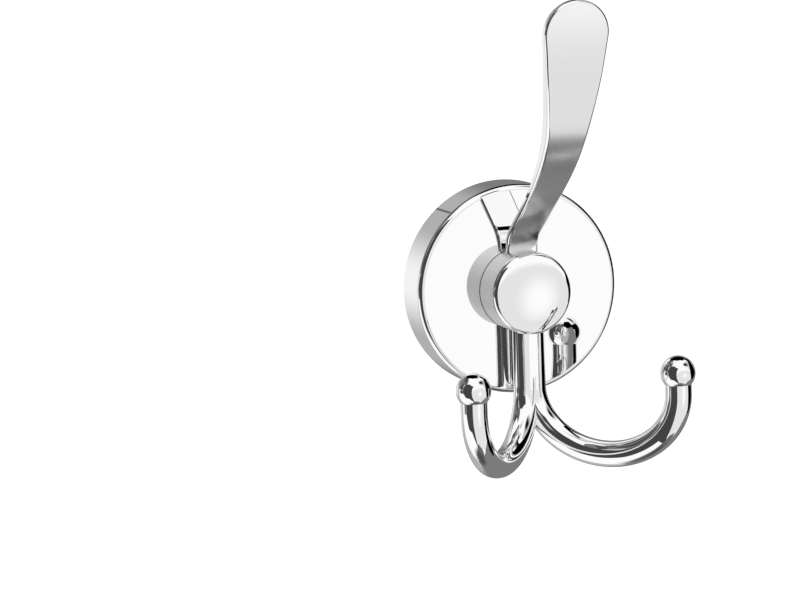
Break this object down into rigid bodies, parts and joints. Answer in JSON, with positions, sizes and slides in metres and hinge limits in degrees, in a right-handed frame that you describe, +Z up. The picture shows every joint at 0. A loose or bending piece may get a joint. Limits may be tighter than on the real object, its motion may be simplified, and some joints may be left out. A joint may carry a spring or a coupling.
{
  "type": "double robe hook",
  "caption": "Wall-mounted robe hook: round rosette, short domed hub, flat upper lever and a forked pair of curved prongs with ball tips.",
  "frame": {"origin": "on the rosette's axis, in the plane of the wall, midway between the two wall screw holes", "axes": "+Z up, +Y into the wall, so the hook's front faces -Y, +X to the right as seen from the front"},
  "size_m": [0.066, 0.0612, 0.1258],
  "materials": {
    "polished_chrome": "mirror-polished chrome plate",
    "plated_steel": "dull nickel plate, as cast",
    "zinc_plated_screw": "bright zinc plate",
    "black_steel_screw": "blackened steel"
  },
  "bodies": {
    "root": {"rosette": "polished_chrome", "hook_body": "polished_chrome", "wall_bracket": "plated_steel", "body_screw": "zinc_plated_screw", "set_screw": "black_steel_screw"}
  },
  "joints": []
}
